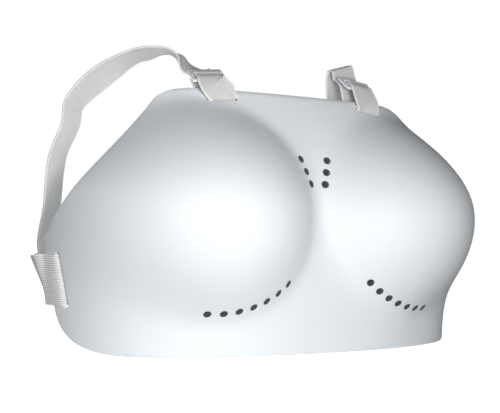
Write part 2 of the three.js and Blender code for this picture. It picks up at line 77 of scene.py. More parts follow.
SHELL_HEIGHT = 210.0
WALL = 3.0
TORSO_HALF_WIDTH = 199.0
TOP_NARROWING = 3.5
TORSO_DEPTH = 129.0
TOP_SHALLOWING = 6.4
ROUNDNESS = 2 / 2.26
LEAN = 29.0
SHOULDER_LEAN = 15.6
CUP_RISE = 58.4
CUP_X, CUP_Z = 100.0, 116.0
CUP_HALF_WIDTH, CUP_UPPER_HEIGHT, CUP_LOWER_HEIGHT = 92.3, 84.0, 90.0
CUP_FULLNESS = 1.97
FOLD_INNER, FOLD_OUTER, FOLD_UPPER = 10.0, 41.0, 9.0
SIDE_ANGLE = math.radians(74)
LOWER_CORNER_HEIGHT, LOWER_CORNER_SWEEP, LOWER_CORNER_POWER = 44.5, math.radians(31), 2.9
ARMHOLE_FOOT_Z, ARMHOLE_TOP_ANGLE = 88.0, math.radians(35.4)
UPPER_CORNER_HEIGHT, UPPER_CORNER_SWEEP = 11.0, math.radians(7)


def smoothstep(x, low, high):
    t = np.clip((x - low) / (high - low), 0, 1)
    return t * t * (3 - 2 * t)


def unit(a):
    return a / np.linalg.norm(a, axis=-1, keepdims=True)


def torso(z):
    u = z / SHELL_HEIGHT
    upper = np.clip((u - 0.5) / 0.5, 0, None)
    return (TORSO_HALF_WIDTH - TOP_NARROWING * u * u, TORSO_DEPTH - TOP_SHALLOWING * u,
            LEAN * u + SHOULDER_LEAN * upper * upper)


def cup_height(x, z):
    across = (np.abs(x) - CUP_X) / CUP_HALF_WIDTH
    along = (z - CUP_Z) / np.where(z > CUP_Z, CUP_UPPER_HEIGHT, CUP_LOWER_HEIGHT)
    dome = CUP_RISE * (1 - np.maximum(across**2 + along**2, 1e-9) ** (CUP_FULLNESS / 2))
    lower = FOLD_INNER + (FOLD_OUTER - FOLD_INNER) * smoothstep(across, 0, 1)
    fold = lower + (FOLD_UPPER - lower) * smoothstep(along, 0.1, 0.9)
    return 0.5 * (dome + np.hypot(dome, fold))


def torso_point(angle, z):
    """The outer face, before the origin is moved to the lower rim."""
    half_width, depth, front = torso(z)
    s, c = np.abs(np.sin(angle)), np.abs(np.cos(angle))
    side = np.sign(angle)
    x = side * half_width * s**ROUNDNESS
    y = front + depth * (1 - c**ROUNDNESS)
    out = unit(np.stack([side * s ** (2 - ROUNDNESS) / half_width, -(c ** (2 - ROUNDNESS)) / depth], -1))
    rise = cup_height(x, z)
    return np.stack([x + rise * out[..., 0], y + rise * out[..., 1], z], -1)


rim_shift = torso_point(np.array(0.0), np.array(0.0))[1] + WALL / 2


def skin(angle, z):
    """A point of the shell's outer face."""
    angle, z = np.broadcast_arrays(np.asarray(angle, float), np.asarray(z, float))
    return torso_point(angle, z) - np.array([0, rim_shift, 0])


def skin_slopes(angle, z):
    """How the outer face moves with the angle and with the height."""
    turn, climb = 0.004, 0.5
    round_it = (skin(angle + turn, z) - skin(angle - turn, z)) / (2 * turn)
    up_it = (skin(angle, z + climb) - skin(angle, z - climb)) / (2 * climb)
    return round_it, up_it


def skin_normal(angle, z):
    round_it, up_it = skin_slopes(angle, z)
    return unit(np.cross(round_it, up_it))


RIM_LEVELLING = 5.0  # the wall is cut level at the lower and the upper rim


def into_wall(angle, z):
    """The way from the outer face to the inner one."""
    way = -skin_normal(angle, z)
    z = np.broadcast_to(z, way.shape[:-1])
    way[..., 2] *= smoothstep(np.minimum(z, SHELL_HEIGHT - z), 0, RIM_LEVELLING)
    return unit(way)


def angle_at(x, z):
    half_width = torso(np.asarray(z, float))[0]
    return np.sign(x) * np.arcsin((np.abs(x) / half_width) ** (1 / ROUNDNESS))


def edge_angle(z):
    """How far round the plate reaches at a height."""
    z = np.asarray(z, float)
    t = np.clip((z - ARMHOLE_FOOT_Z) / (SHELL_HEIGHT - ARMHOLE_FOOT_Z), 0, 1)
    angle = SIDE_ANGLE + (ARMHOLE_TOP_ANGLE - SIDE_ANGLE) * t
    t = np.clip(1 - z / LOWER_CORNER_HEIGHT, 0, 1)
    angle = angle - LOWER_CORNER_SWEEP * (1 - (1 - t**LOWER_CORNER_POWER) ** (1 / LOWER_CORNER_POWER))
    t = np.clip(1 - (SHELL_HEIGHT - z) / UPPER_CORNER_HEIGHT, 0, 1)
    return angle - UPPER_CORNER_SWEEP * (1 - np.sqrt(1 - t * t))


class Spot:
    """A place on the shell: its middle, its two directions in the face and the way out."""

    def __init__(self, angle_a, z_a, angle_b, z_b):
        start, end = skin(angle_a, z_a), skin(angle_b, z_b)
        self.angle, self.z = (angle_a + angle_b) / 2, (z_a + z_b) / 2
        self.middle = skin(self.angle, self.z)
        self.along = unit(end - start)
        out = skin_normal(self.angle, self.z)
        self.out = unit(out - self.along * (out @ self.along))
        self.cross = np.cross(self.out, self.along)

    def on_skin(self, along, cross):
        """Angles and heights of the face where it stands over points of this place's plane."""
        angle = np.full(len(along), float(self.angle))
        z = np.full(len(along), float(self.z))
        for _ in range(6):
            gap = skin(angle, z) - self.middle
            round_it, up_it = skin_slopes(angle, z)
            miss_along, miss_cross = gap @ self.along - along, gap @ self.cross - cross
            a, b = round_it @ self.along, up_it @ self.along
            c, d = round_it @ self.cross, up_it @ self.cross
            det = a * d - b * c
            angle = angle - (d * miss_along - b * miss_cross) / det
            z = z - (a * miss_cross - c * miss_along) / det
        return np.stack([angle, z], -1)


STRAP_WIDTH, STRAP_THICKNESS = 25.0, 1.4
BAND_WIDTH, BAND_THICKNESS = 40.0, 1.5
SLOT_END_GAP, SLOT_SIDE_GAP = 1.6, 1.1
TOP_SLOT_X, TOP_SLOT_DROP, TOP_SLOT_SLOPE = 75.0, 7.6, 2.5
SIDE_SLOT_ANGLE, SIDE_SLOT_Z = math.radians(69), 57.0


def top_slot(side):
    half = STRAP_WIDTH / 2 + SLOT_END_GAP
    left, right = side * TOP_SLOT_X - half, side * TOP_SLOT_X + half
    z = SHELL_HEIGHT - TOP_SLOT_DROP
    left_z, right_z = z + side * TOP_SLOT_SLOPE / 2, z - side * TOP_SLOT_SLOPE / 2
    return Spot(angle_at(left, left_z), left_z, angle_at(right, right_z), right_z)


def side_slot(side):
    half = BAND_WIDTH / 2 + SLOT_END_GAP
    return Spot(side * SIDE_SLOT_ANGLE, SIDE_SLOT_Z - half, side * SIDE_SLOT_ANGLE, SIDE_SLOT_Z + half)


def slot_outline(length, width):
    """A slot with round ends: a step every millimetre or so along it."""
    radius = width / 2
    straight = length / 2 - radius
    run = np.linspace(-straight, straight, 18)[1:-1]
    turn = np.radians(np.linspace(-90, 90, 9))
    right = np.stack([straight + radius * np.cos(turn), radius * np.sin(turn)], -1)
    top = np.stack([run[::-1], np.full(len(run), radius)], -1)
    bottom = np.stack([run, np.full(len(run), -radius)], -1)
    return np.concatenate([bottom, right, top, -right])


HOLE_RADIUS = 2.5
ARC_HOLES, ARC_X, ARC_Z, ARC_RADIUS = 7, 102.3, 126.6, 93.6
ARC_START, ARC_END = math.radians(-92.8), math.radians(-49.2)
V_HOLES, V_TOP_X, V_TOP_Z, V_STEP_X, V_STEP_Z = 3, 13.4, 155.8, -3.1, -10.0

openings = []
for side in (-1, 1):
    turns = np.linspace(ARC_START, ARC_END, ARC_HOLES)
    places = [(side * (ARC_X - ARC_RADIUS * math.cos(t)), ARC_Z + ARC_RADIUS * math.sin(t)) for t in turns]
    places += [(side * (V_TOP_X + V_STEP_X * i), V_TOP_Z + V_STEP_Z * i) for i in range(V_HOLES)]
    for x, z in places:
        angle = angle_at(x, z)
        spot = Spot(angle - 0.01, z, angle + 0.01, z)
        turn = np.linspace(0, 2 * np.pi, 24, endpoint=False)
        openings.append(spot.on_skin(HOLE_RADIUS * np.cos(turn), HOLE_RADIUS * np.sin(turn)))
    for spot, width, thickness in (
        (top_slot(side), STRAP_WIDTH, STRAP_THICKNESS),
        (side_slot(side), BAND_WIDTH, BAND_THICKNESS),
    ):
        outline = slot_outline(width + 2 * SLOT_END_GAP, thickness + 2 * SLOT_SIDE_GAP)
        openings.append(spot.on_skin(outline[:, 0], outline[:, 1]))


def plate_outline(step):
    """The trimmed edge, anticlockwise as seen from the front: angles and heights."""
    low = 0.5 * LOWER_CORNER_HEIGHT * (1 - np.cos(np.linspace(0, np.pi, 33)))
    middle = np.arange(LOWER_CORNER_HEIGHT, SHELL_HEIGHT - UPPER_CORNER_HEIGHT, step)[1:]
    high = SHELL_HEIGHT - UPPER_CORNER_HEIGHT * np.cos(np.linspace(0, np.pi / 2, 13))
    z = np.concatenate([low, middle, high])
    right = np.stack([edge_angle(z), z], -1)
    left = np.stack([-edge_angle(z), z], -1)[::-1]
    half_top, half_low = edge_angle(SHELL_HEIGHT), edge_angle(0.0)
    top = np.linspace(half_top, -half_top, int(2 * half_top * TORSO_HALF_WIDTH / step))[1:-1]
    low = np.linspace(-half_low, half_low, int(2 * half_low * TORSO_HALF_WIDTH / step))[1:-1]
    top = np.stack([top, np.full(len(top), SHELL_HEIGHT)], -1)
    low = np.stack([low, np.zeros(len(low))], -1)
    return np.concatenate([right, top, left, low])


def inside(points, loop):
    """Which points lie inside a closed loop."""
    x, y = points[:, :1], points[:, 1:]
    x0, y0 = loop[None, :, 0], loop[None, :, 1]
    x1, y1 = np.roll(x0, -1, 1), np.roll(y0, -1, 1)
    with np.errstate(divide="ignore", invalid="ignore"):
        crossing = ((y0 > y) != (y1 > y)) & (x < (x1 - x0) * (y - y0) / (y1 - y0) + x0)
    return crossing.sum(1) % 2 == 1


def moulded_plate(outline, holes, grid, spread, face, inward, wall, radius, arc_steps=4):
    """A plate with rounded edges. Its outline, holes and grid are points of a flat pattern.
    face gives a pattern point's place, and inward the way through the wall there."""
    loops = [outline] + [h[::-1] for h in holes]
    edges = []
    for loop in loops:
        place, way = face(loop), inward(loop)
        ahead_of = unit(np.roll(place, -1, 0) - np.roll(place, 1, 0))
        into = unit(np.cross(way, ahead_of))
        into = -unit(into - way * (into * way).sum(-1, keepdims=True))
        step = 1e-3 * spread
        slope_u = (face(loop + [step[0], 0]) - face(loop - [step[0], 0])) / (2 * step[0])
        slope_v = (face(loop + [0, step[1]]) - face(loop - [0, step[1]])) / (2 * step[1])
        normal_eq = np.stack([np.stack([(slope_u * slope_u).sum(-1), (slope_u * slope_v).sum(-1)], -1),
                              np.stack([(slope_u * slope_v).sum(-1), (slope_v * slope_v).sum(-1)], -1)], -2)
        target = np.stack([(slope_u * into).sum(-1), (slope_v * into).sum(-1)], -1) * radius
        shift = np.linalg.solve(normal_eq, target[..., None])[..., 0]
        edges.append((loop + shift, place, way, into))
    pattern = np.concatenate([e[0] for e in edges]) / spread
    starts = np.cumsum([0] + [len(e[0]) for e in edges])
    keep = inside(grid / spread, edges[0][0] / spread)
    for loop, *_ in edges[1:]:
        keep &= ~inside(grid / spread, loop / spread)
    grid = grid[keep]
    near = np.sqrt(((grid[:, None] / spread - pattern[None]) ** 2).sum(-1)).min(1)
    grid = grid[near > 0.55]
    points = np.concatenate([pattern * spread, grid])
    borders = []
    for first, last in zip(starts[:-1], starts[1:]):
        ring = list(range(first, last))
        borders += list(zip(ring, ring[1:] + ring[:1]))
    flat = [Vector(p) for p in points / spread]
    made = delaunay_2d_cdt(flat, borders, [], 0, 1e-7)
    assert len(made[0]) == len(points)
    order = np.array([ids[0] for ids in made[3]])
    triangles = order[np.array(made[2])]
    centres = (points / spread)[triangles].mean(1)
    keep = inside(centres, edges[0][0] / spread)
    for loop, *_ in edges[1:]:
        keep &= ~inside(centres, loop / spread)
    triangles = triangles[keep]
    outer, way = face(points), inward(points)
    inner = outer + way * wall
    count = len(points)
    vertices = [outer, inner]
    rim = [np.full(2 * count, -1)]
    faces = [tuple(t) for t in triangles] + [tuple(t[::-1] + count) for t in triangles]
    made_so_far = 2 * count
    quarter = np.radians(np.linspace(0, 90, arc_steps + 1))[1:]
    depths = [(radius * (1 - math.sin(t)), radius * (1 - math.cos(t))) for t in quarter]
    depths += [(back, wall - deep) for back, deep in depths[::-1]]
    for number, ((loop, place, way, into), first, last) in enumerate(zip(edges, starts[:-1], starts[1:])):
        size = last - first
        rim[0][count + first:count + last] = number
        rings = [np.arange(first, last)]
        for back, deep in depths:
            vertices.append(place + into * back + way * deep)
            rim.append(np.full(size, number))
            rings.append(np.arange(made_so_far, made_so_far + size))
            made_so_far += size
        rings.append(np.arange(first, last) + count)
        for a, b in zip(rings, rings[1:]):
            faces += list(zip(np.roll(a, -1), a, b, np.roll(b, -1)))
    vertices = np.concatenate(vertices)
    return vertices, faces, np.concatenate(rim)


def make_piece(name, vertices, faces):
    mesh = bpy.data.meshes.new(name)
    corners = [tuple(v) for v in np.asarray(vertices) * MM]
    mesh.from_pydata(corners, [], [tuple(int(i) for i in f) for f in faces])
    mesh.validate()
    mesh.shade_smooth()
    piece = bpy.data.objects.new(name, mesh)
    bpy.context.scene.collection.objects.link(piece)
    return piece


SHELL_GRID = 3.0
columns = np.arange(-86.0, 86.5, 1.0) * SHELL_GRID / TORSO_HALF_WIDTH
rows = np.arange(0.5, SHELL_HEIGHT / SHELL_GRID / 0.866) * SHELL_GRID * 0.866
half_step = 0.5 * SHELL_GRID / TORSO_HALF_WIDTH
grid = np.array([(c + (r % 2) * half_step, z) for r, z in enumerate(rows) for c in columns])
spread = np.array([SHELL_GRID / TORSO_HALF_WIDTH, SHELL_GRID])
vertices, faces, rim_number = moulded_plate(
    plate_outline(SHELL_GRID), openings, grid, spread,
    lambda p: skin(p[:, 0], p[:, 1]), lambda p: into_wall(p[:, 0], p[:, 1]), WALL, 0.9)
shell = make_piece("chest_shell", vertices, faces)


def linked(tree, kind, sockets=None, **settings):
    """A shader node with its settings, and its sockets joined or set."""
    made = tree.nodes.new(kind)
    for key, value in settings.items():
        setattr(made, key, value)
    for key, value in (sockets or {}).items():
        socket = made.inputs[key]
        if isinstance(value, bpy.types.NodeSocket):
            tree.links.new(value, socket)
        else:
            socket.default_value = value
    return made


shell_finish = bpy.data.materials.new("white moulded plastic")
shell_finish.use_nodes = True
tree = shell_finish.node_tree
surface = tree.nodes["Principled BSDF"]
spot = linked(tree, "ShaderNodeTexCoord").outputs["Object"]
cloud = linked(tree, "ShaderNodeTexNoise", {"Vector": spot, "Scale": 14.0, "Detail": 3.0})
grain = linked(tree, "ShaderNodeTexNoise", {"Vector": spot, "Scale": 900.0, "Detail": 3.0})
# Painted highlight: the shell is painted lighter along its outline and the slot rims, where light catches
# the rounded edges.
rim_highlight = linked(tree, "ShaderNodeAttribute", attribute_name="near_rim")
tone = linked(tree, "ShaderNodeMix", {"Factor": cloud.outputs[0]}, data_type="RGBA")
tone.inputs[6].default_value = (0.86, 0.905, 0.94, 1)
tone.inputs[7].default_value = (0.89, 0.93, 0.96, 1)
edged = linked(tree, "ShaderNodeMix", {"Factor": rim_highlight.outputs["Fac"]}, data_type="RGBA")
tree.links.new(tone.outputs[2], edged.inputs[6])
edged.inputs[7].default_value = (0.95, 0.96, 0.96, 1)
# Painted shade: the walls of the vent holes are painted near black for the shade inside the holes.
drilled = linked(tree, "ShaderNodeAttribute", attribute_name="drilled")
dirt_and_hole_shade = linked(tree, "ShaderNodeMix", {"Factor": drilled.outputs["Fac"]}, data_type="RGBA")
tree.links.new(edged.outputs[2], dirt_and_hole_shade.inputs[6])
dirt_and_hole_shade.inputs[7].default_value = (0.07, 0.065, 0.065, 1)
tree.links.new(dirt_and_hole_shade.outputs[2], surface.inputs["Base Color"])
rough = linked(tree, "ShaderNodeMapRange", {"Value": grain.outputs[0], 1: 0.3, 2: 0.7, 3: 0.5, 4: 0.6})
tree.links.new(rough.outputs[0], surface.inputs["Roughness"])
bump = linked(tree, "ShaderNodeBump", {"Height": grain.outputs[0], "Strength": 0.15, "Distance": 0.00004})
tree.links.new(bump.outputs[0], surface.inputs["Normal"])
shell.data.materials.append(shell_finish)
# The outline is rim 0. Each side then has ten vents and two slots.
vent = (rim_number > 0) & ((rim_number - 1) % 12 < 10)
# near_rim marks where the painted rim highlight goes, and drilled where the painted shade of the vent bores
# goes.
for label, mask in (("near_rim", (rim_number >= 0) & ~vent), ("drilled", vent)):
    layer = shell.data.attributes.new(label, "FLOAT", "POINT")
    layer.data.foreach_set("value", mask.astype(np.float32))
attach(shell, "shell")
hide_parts("shell")

# ------------------------------------------------------------------ strap loops
# Each shoulder strap ends in a loop of 25 mm woven elastic webbing. It goes out through the top
# slot, up over the slider's middle bar and back down behind the wall. Its edges are selvages.

SLIDER_GAP = 0.4
LOOP_RADIUS = WALL / 2 + STRAP_THICKNESS / 2 + 2.8
BAR, BAR_THICKNESS, BAR_PITCH = 3.0, 2.4, 6.4
SLIDER_TILT, SLIDER_BACK = math.radians(38.7), 5.4
OVER_BAR = BAR_THICKNESS / 2 + SLIDER_GAP + STRAP_THICKNESS / 2
PAST_BAR = BAR / 2 + SLIDER_GAP + STRAP_THICKNESS / 2


class Shoulder:
    """The plane of a strap loop: where its webbing and its slider stand."""

    def __init__(self, side, lean, rise):
        slot = top_slot(side)
        self.side, self.lean, self.rise = side, side * lean, rise
        self.along = slot.along
        self.back = -unit(slot.out * [1, 1, 0])
        self.up = unit(np.cross(self.along, self.back))
        self.pivot = slot.middle - slot.out * WALL / 2 + slot.cross * LOOP_RADIUS
        self.slope = math.atan2(slot.cross @ self.back, slot.cross @ self.up)
        self.tilt_up = self.back * math.cos(SLIDER_TILT) + self.up * math.sin(SLIDER_TILT)

    def at(self, behind, high):
        sway = min(max(high / (self.rise - BAR_PITCH), 0), 1)
        return self.pivot + self.back * behind + self.up * high + self.along * (self.lean * sway)

    def slider(self, up_frame, out):
        c, s = math.cos(SLIDER_TILT), math.sin(SLIDER_TILT)
        return self.at(SLIDER_BACK + up_frame * c - out * s, self.rise + up_frame * s + out * c)

    def strap_start(self, behind=0.0, high=0.0):
        return self.at(SLIDER_BACK + 8.4 + behind, self.rise + 1.4 + high)


shoulders = {"left": Shoulder(-1, 8.2, 16.0), "right": Shoulder(1, -7.3, 18.8)}


def smooth_course(points, times, even):
    """A smooth curve through points. even spaces it by index, else by the root of the distance."""
    points = np.asarray(points, float)
    points = np.concatenate([[2 * points[0] - points[1]], points, [2 * points[-1] - points[-2]]])
    whole = np.clip(np.floor(times).astype(int), 0, len(points) - 4)
    part = (times - whole)[:, None]
    p0, p1, p2, p3 = (points[whole + i] for i in range(4))
    if even:
        slope1, slope2 = 0.5 * (p2 - p0), 0.5 * (p3 - p1)
    else:
        pairs = ((p0, p1), (p1, p2), (p2, p3))
        d0, d1, d2 = (np.sqrt(np.linalg.norm(b - a, axis=1))[:, None] for a, b in pairs)
        slope1 = ((p1 - p0) / d0 - (p2 - p0) / (d0 + d1) + (p2 - p1) / d1) * d1
        slope2 = ((p2 - p1) / d1 - (p3 - p1) / (d1 + d2) + (p3 - p2) / d2) * d1
    a = 2 * p1 - 2 * p2 + slope1 + slope2
    b = -3 * p1 + 3 * p2 - 2 * slope1 - slope2
    return p1 + slope1 * part + b * part**2 + a * part**3


def webbing(name, stations, width, thickness, cords, step, relief=0.07, waver=0.0):
    """A woven strip along stations of (centre, direction across). Its face has raised cords
    along its length and rounded selvages; its map holds millimetres across and along."""
    fine = np.linspace(0, len(stations) - 1, 40 * len(stations))
    course = smooth_course([s[0] for s in stations], fine, even=False)
    run = np.concatenate([[0], np.cumsum(np.linalg.norm(np.diff(course, axis=0), axis=1))])
    count = int(run[-1] / step) + 1
    distance = np.linspace(0, run[-1], count)
    times = np.interp(distance, run, fine)
    centre = smooth_course([s[0] for s in stations], times, even=False)
    across = unit(smooth_course([s[1] for s in stations], times, even=True))
    ahead_of = unit(np.gradient(centre, axis=0))
    face = unit(np.cross(ahead_of, across))
    across = unit(np.cross(face, ahead_of))
    half = thickness / 2
    bend = np.radians(np.linspace(-90, 90, 7))[1:-1]
    flat = np.linspace(-1, 1, 3 * cords + 1) * (width / 2 - half)
    pitch = (width - thickness) / cords
    raised = half - relief * (1 - np.abs(np.cos(np.pi * flat / pitch)) ** 0.8)
    edge = width / 2 - half + half * np.cos(bend)
    rise = half * np.sin(bend)
    ring = np.concatenate([
        np.stack([flat, raised], -1)[::-1], np.stack([-edge, rise], -1)[::-1],
        np.stack([flat, -raised], -1), np.stack([edge, rise], -1)])
    shake = waver * np.sin(distance / 7.3) * np.sin(distance / 19.0 + 1.0)
    vertices = (centre[:, None] + across[:, None] * ring[None, :, :1]
                + face[:, None] * (ring[None, :, 1:] + shake[:, None, None]))
    around = len(ring)
    grid_index = np.arange(count * around).reshape(count, around)
    a, b = grid_index[:-1], grid_index[1:]
    faces = np.stack([a, np.roll(a, -1, 1), np.roll(b, -1, 1), b], -1).reshape(-1, 4)
    piece_faces = [tuple(f) for f in faces]
    piece_faces += [tuple(grid_index[0, ::-1]), tuple(grid_index[-1])]
    piece = make_piece(name, vertices.reshape(-1, 3), piece_faces)
    uv = np.stack([np.broadcast_to(ring[None, :, 0], (count, around)),
                   np.broadcast_to(distance[:, None], (count, around))], -1).reshape(-1, 2)
    layer = piece.data.uv_layers.new(name="weave")
    corners = np.empty(len(piece.data.loops), int)
    piece.data.loops.foreach_get("vertex_index", corners)
    layer.data.foreach_set("uv", uv[corners].ravel())
    return piece


def maths(tree, operation, *values):
    made = tree.nodes.new("ShaderNodeMath")
    made.operation = operation
    for socket, value in zip(made.inputs, values):
        if isinstance(value, bpy.types.NodeSocket):
            tree.links.new(value, socket)
        else:
            socket.default_value = value
    return made.outputs[0]


def weave_group():
    """Woven webbing: a height for its picks and cords, and a mask of the gaps between them, which are
    painted with shade.
    """
    tree = bpy.data.node_groups.new("Woven webbing", "ShaderNodeTree")
    for label in ("Cord Pitch", "Pick Pitch", "Half Width", "Pick Depth"):
        tree.interface.new_socket(label, in_out="INPUT", socket_type="NodeSocketFloat")
    for label in ("Height", "Gaps", "Selvage"):
        tree.interface.new_socket(label, in_out="OUTPUT", socket_type="NodeSocketFloat")
    given = tree.nodes.new("NodeGroupInput")
    place = linked(tree, "ShaderNodeUVMap", uv_map="weave")
    parts = linked(tree, "ShaderNodeSeparateXYZ", {"Vector": place.outputs[0]})
    across, along = parts.outputs[0], parts.outputs[1]
    cord = maths(tree, "DIVIDE", across, given.outputs["Cord Pitch"])
    cord_wave = maths(tree, "COSINE", maths(tree, "MULTIPLY", cord, 2 * math.pi))
    shift = maths(tree, "MULTIPLY", maths(tree, "FLOORED_MODULO", maths(tree, "ROUND", cord), 2.0), 0.5)
    pick = maths(tree, "ADD", maths(tree, "DIVIDE", along, given.outputs["Pick Pitch"]), shift)
    pick_wave = maths(tree, "COSINE", maths(tree, "MULTIPLY", pick, 2 * math.pi))
    cord_high = maths(tree, "MULTIPLY_ADD", cord_wave, 0.5, 0.5)
    pick_high = maths(tree, "MULTIPLY_ADD", pick_wave, 0.5, 0.5)
    picks = maths(tree, "MULTIPLY", pick_high, given.outputs["Pick Depth"])
    height = maths(tree, "ADD", maths(tree, "MULTIPLY", cord_high, 0.5), picks)
    dip = maths(tree, "MULTIPLY", maths(tree, "SUBTRACT", 1.0, pick_high), given.outputs["Pick Depth"])
    raised = maths(tree, "MULTIPLY", cord_high, maths(tree, "SUBTRACT", 1.0, dip))
    gaps = maths(tree, "POWER", maths(tree, "SUBTRACT", 1.0, raised), 3.0)
    reach = maths(tree, "SUBTRACT", given.outputs["Half Width"], maths(tree, "ABSOLUTE", across))
    selvage = linked(tree, "ShaderNodeMapRange", {"Value": reach, 1: 0.9, 2: 1.6, 3: 1.0, 4: 0.0})
    result = tree.nodes.new("NodeGroupOutput")
    for label, value in (("Height", height), ("Gaps", gaps), ("Selvage", selvage.outputs[0])):
        tree.links.new(value, result.inputs[label])
    return tree


woven = weave_group()


def webbing_finish(name, width, cords, pick_pitch, pick_depth, yarn, shade, selvage_colour):
    material = bpy.data.materials.new(name)
    material.use_nodes = True
    tree = material.node_tree
    surface = tree.nodes["Principled BSDF"]
    weave = linked(tree, "ShaderNodeGroup", node_tree=woven)
    weave.inputs["Cord Pitch"].default_value = width / cords
    weave.inputs["Pick Pitch"].default_value = pick_pitch
    weave.inputs["Half Width"].default_value = width / 2
    weave.inputs["Pick Depth"].default_value = pick_depth
    spot = linked(tree, "ShaderNodeTexCoord").outputs["Object"]
    cloud = linked(tree, "ShaderNodeTexNoise", {"Vector": spot, "Scale": 60.0, "Detail": 3.0})
    fibre = linked(tree, "ShaderNodeTexNoise", {"Vector": spot, "Scale": 900.0, "Detail": 2.0})
    # Painted shade: the gaps between cords and picks take the darker shade colour.
    tone = linked(tree, "ShaderNodeMix", {"Factor": weave.outputs["Gaps"]}, data_type="RGBA")
    tone.inputs[6].default_value = (*yarn, 1)
    tone.inputs[7].default_value = (*shade, 1)
    edged = linked(tree, "ShaderNodeMix", {"Factor": weave.outputs["Selvage"]}, data_type="RGBA")
    tree.links.new(tone.outputs[2], edged.inputs[6])
    edged.inputs[7].default_value = (*selvage_colour, 1)
    dirt_and_hole_shade = linked(tree, "ShaderNodeMix", data_type="RGBA", blend_type="MULTIPLY")
    dirt = linked(tree, "ShaderNodeMapRange", {"Value": cloud.outputs[0], 1: 0.35, 2: 0.7, 3: 0.0, 4: 0.35})
    tree.links.new(dirt.outputs[0], dirt_and_hole_shade.inputs[0])
    tree.links.new(edged.outputs[2], dirt_and_hole_shade.inputs[6])
    dirt_and_hole_shade.inputs[7].default_value = (0.8, 0.78, 0.76, 1)
    tree.links.new(dirt_and_hole_shade.outputs[2], surface.inputs["Base Color"])
    rough = linked(tree, "ShaderNodeMapRange", {"Value": fibre.outputs[0], 1: 0.3, 2: 0.7, 3: 0.68, 4: 0.9})
    tree.links.new(rough.outputs[0], surface.inputs["Roughness"])
    height = maths(tree, "ADD", weave.outputs["Height"], maths(tree, "MULTIPLY", fibre.outputs[0], 0.3))
    bump = linked(tree, "ShaderNodeBump", {"Height": height, "Strength": 0.4, "Distance": 0.0001})
    tree.links.new(bump.outputs[0], surface.inputs["Normal"])
    surface.inputs["Sheen Weight"].default_value = 0.15
    return material


STRAP_CORDS = 14
strap_finish = webbing_finish("strap webbing", STRAP_WIDTH, STRAP_CORDS, 1.1, 0.3, (0.80, 0.80, 0.79),
                              (0.58, 0.57, 0.56), (0.92, 0.91, 0.90))


def loop_stations(hold):
    low = hold.slope

    def leg(length):
        return hold.at(LOOP_RADIUS * math.cos(low) + length * math.sin(low),
                       -LOOP_RADIUS * math.sin(low) + length * math.cos(low))

    route = [hold.strap_start(-0.1, -0.1), hold.slider(2.6, -OVER_BAR - STRAP_THICKNESS - 2.2),
             leg(10), leg(5)]
    for turn in np.linspace(low, math.pi, 7):
        route.append(hold.at(LOOP_RADIUS * math.cos(turn), -LOOP_RADIUS * math.sin(turn)))
    round_bar = PAST_BAR - 0.15
    route += [hold.at(-LOOP_RADIUS, 4), hold.at(0.8 - LOOP_RADIUS, 9.5),
              hold.slider(-BAR_PITCH - 0.2, OVER_BAR + 0.7), hold.slider(-2.4, OVER_BAR + 0.4),
              hold.slider(0.0, OVER_BAR + 1.0), hold.slider(round_bar, OVER_BAR), hold.slider(PAST_BAR, 0),
              hold.slider(round_bar, 0.6 - OVER_BAR), hold.slider(0.6, -OVER_BAR),
              hold.slider(-1.4, -OVER_BAR)]
    return [(p, hold.along) for p in route]


for name, hold in shoulders.items():
    loop = webbing(f"{name}_loop_webbing", loop_stations(hold), STRAP_WIDTH, STRAP_THICKNESS,
                   STRAP_CORDS, 0.6)
    loop.data.materials.append(strap_finish)
    tuple(hold.at(0, 2) * MM)
    tuple(hold.slider(-BAR_PITCH, 0) * MM)
    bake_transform(loop)
    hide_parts(f"{name}_strap_loop", f"{name}_strap_wrap")

# ------------------------------------------------------------------ sliders
# Two flat three-bar adjusters moulded in off-white plastic. The webbing is wound over the
# middle bar, and every edge is rounded over.

SLIDER_SIDE = 2.6


def rounded_box(width, height, radius, step, middle=0.0):
    """A rounded rectangle, anticlockwise, with a point every step along it."""
    x, y = width / 2 - radius, height / 2 - radius
    points = []
    for i, (cx, cy) in enumerate(((x, -y), (x, y), (-x, y), (-x, -y))):
        for t in np.radians(np.linspace(90 * i - 90, 90 * i, 6)):
            points.append((cx + radius * math.cos(t), cy + radius * math.sin(t) + middle))
    points = np.array(points)
    full = []
    for a, b in zip(points, np.roll(points, -1, 0)):
        pieces = max(1, round(np.linalg.norm(b - a) / step))
        full += [a + (b - a) * k / pieces for k in range(pieces)]
    return np.array(full)


def slider_finish():
    material = bpy.data.materials.new("moulded off-white plastic")
    material.use_nodes = True
    tree = material.node_tree
    surface = tree.nodes["Principled BSDF"]
    spot = linked(tree, "ShaderNodeTexCoord").outputs["Object"]
    grain = linked(tree, "ShaderNodeTexNoise", {"Vector": spot, "Scale": 400.0, "Detail": 4.0})
    tone = linked(tree, "ShaderNodeMix", {"Factor": grain.outputs[0]}, data_type="RGBA")
    tone.inputs[6].default_value = (0.86, 0.89, 0.95, 1)
    tone.inputs[7].default_value = (0.90, 0.93, 0.98, 1)
    tree.links.new(tone.outputs[2], surface.inputs["Base Color"])
    rough = linked(tree, "ShaderNodeMapRange", {"Value": grain.outputs[0], 1: 0.3, 2: 0.7, 3: 0.28, 4: 0.4})
    tree.links.new(rough.outputs[0], surface.inputs["Roughness"])
    bump = linked(tree, "ShaderNodeBump", {"Height": grain.outputs[0], "Strength": 0.2, "Distance": 0.00005})
    tree.links.new(bump.outputs[0], surface.inputs["Normal"])
    return material


